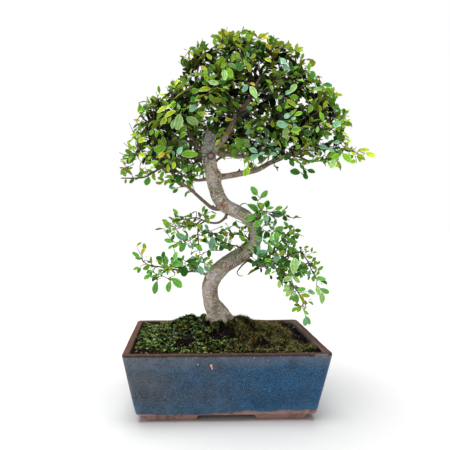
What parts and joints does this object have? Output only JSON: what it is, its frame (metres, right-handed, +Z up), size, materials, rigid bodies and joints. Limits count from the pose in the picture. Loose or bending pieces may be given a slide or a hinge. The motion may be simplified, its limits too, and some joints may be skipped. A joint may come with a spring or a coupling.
{
  "type": "chinese elm bonsai",
  "caption": "Small Chinese elm bonsai with an S-shaped trunk and leafy sprays, growing through moss and soil in a glazed rectangular pot on bracket feet",
  "frame": {"origin": "under the middle of the whole plant's box, at the height of the pot's feet", "axes": "+Z up along the tree, +X to the right along the pot's long side, -Y to the front"},
  "size_m": [0.2496, 0.184, 0.399],
  "materials": {
    "glaze": "blue-grey speckled glaze with soft gloss, bare brown clay rim and feet",
    "screen_plastic": "moulded plastic mesh, matt",
    "potting_mix": null,
    "moss": null,
    "bark": "grey-brown bark with lavender and green patches and fine cross lines",
    "crown_leaves": "fresh green, slightly glossy leaves",
    "lower_leaves": "light green, slightly glossy leaves"
  },
  "bodies": {
    "root": {"pot": "glaze", "drain_screen_left": "screen_plastic", "drain_screen_right": "screen_plastic", "soil": "potting_mix", "moss": "moss", "trunk": "bark", "spray_left_low_1": "crown_leaves", "spray_left_low_2": "crown_leaves", "spray_left_low_3": "crown_leaves", "spray_left_mid_1": "crown_leaves", "spray_left_mid_2": "crown_leaves", "spray_left_mid_3": "crown_leaves", "spray_left_up_1": "crown_leaves", "spray_left_up_2": "crown_leaves", "spray_left_short_1": "crown_leaves", "spray_left_back_1": "crown_leaves", "spray_left_back_2": "crown_leaves", "spray_top_left_1": "crown_leaves", "spray_top_left_2": "crown_leaves", "spray_top_left_3": "crown_leaves", "spray_lead_up_1": "crown_leaves", "spray_lead_up_2": "crown_leaves", "spray_lead_up_3": "crown_leaves", "spray_lead_right_1": "crown_leaves", "spray_lead_right_2": "crown_leaves", "spray_lead_right_3": "crown_leaves", "spray_lead_right_4": "crown_leaves", "spray_lead_right_5": "crown_leaves", "spray_lead_right_6": "crown_leaves", "spray_right_mid_1": "crown_leaves", "spray_right_mid_2": "crown_leaves", "spray_right_mid_3": "crown_leaves", "spray_right_mid_4": "crown_leaves", "spray_right_low_1": "crown_leaves", "spray_right_low_2": "crown_leaves", "spray_right_low_3": "crown_leaves", "spray_right_low_4": "crown_leaves", "spray_right_low_5": "crown_leaves", "spray_right_low_6": "crown_leaves", "spray_back_low_1": "crown_leaves", "spray_back_mid_1": "crown_leaves", "spray_back_up_1": "crown_leaves", "spray_back_up_2": "crown_leaves", "spray_low_left_1": "lower_leaves", "spray_low_left_2": "lower_leaves", "spray_low_left_3": "lower_leaves", "spray_low_left_4": "lower_leaves", "spray_hanging_1": "lower_leaves", "spray_hanging_2": "lower_leaves", "spray_hanging_3": "lower_leaves", "spray_knee_left_1": "lower_leaves", "spray_knee_left_2": "lower_leaves", "spray_knee_right_1": "lower_leaves", "spray_knee_right_2": "lower_leaves", "spray_low_right_1": "lower_leaves", "spray_low_right_2": "lower_leaves", "spray_low_right_3": "lower_leaves", "spray_low_right_4": "lower_leaves", "spray_low_right_5": "lower_leaves"}
  },
  "joints": []
}
